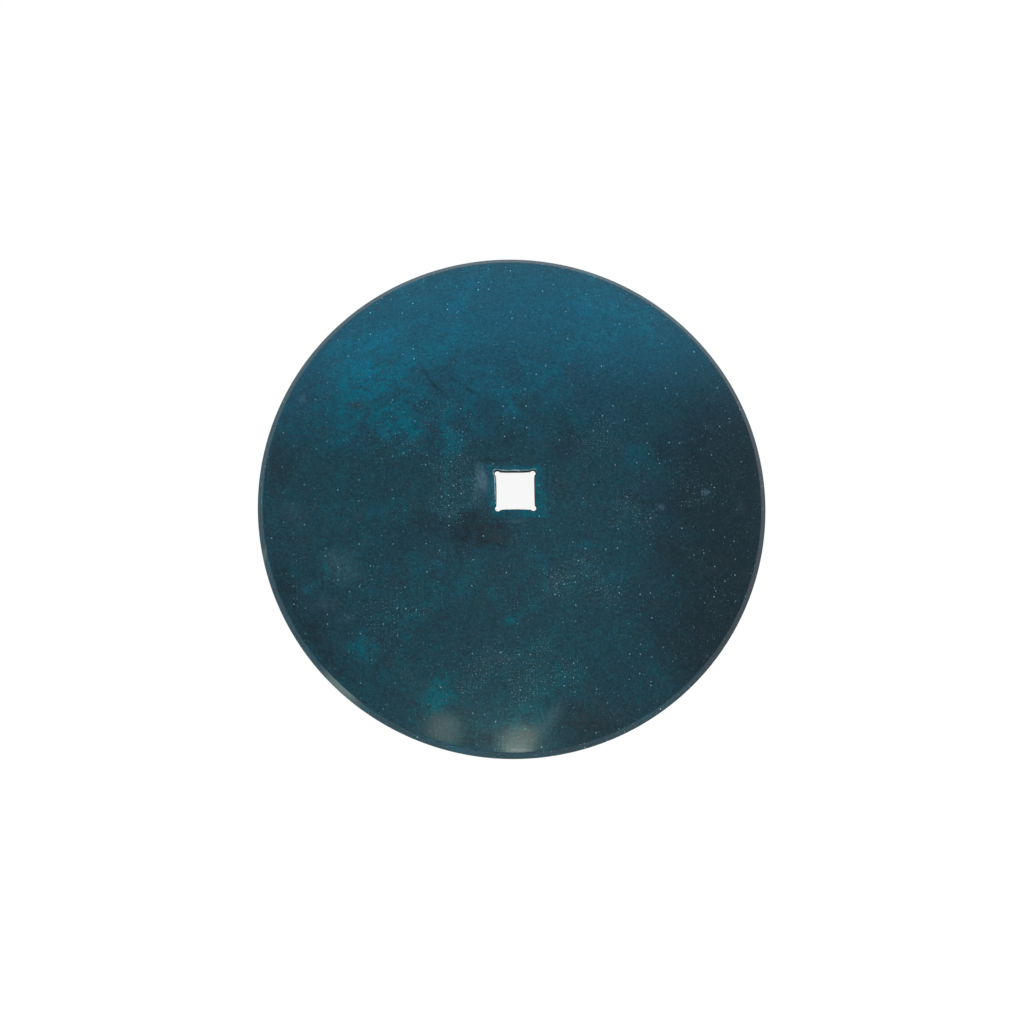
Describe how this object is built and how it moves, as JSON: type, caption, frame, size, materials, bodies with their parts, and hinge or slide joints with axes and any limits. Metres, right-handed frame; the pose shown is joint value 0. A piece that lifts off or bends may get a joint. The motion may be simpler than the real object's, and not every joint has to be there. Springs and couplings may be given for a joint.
{
  "type": "harrow disc",
  "caption": "Plain-edge harrow disc: dished round steel plate with a bevelled cutting edge and a square hole for the gang shaft.",
  "frame": {"origin": "centre of the plane that the cutting edge rests on", "axes": "+Z along the blade's axis from the open dish to the dome; X and Y square to the hole's flats"},
  "size_m": [0.56, 0.56, 0.0792],
  "materials": {
    "blue_lacquer": "thin dark blue-green gloss lacquer over hot-pressed steel, mottled and lightly scuffed"
  },
  "bodies": {
    "root": {"disc_blade": "blue_lacquer"}
  },
  "joints": []
}
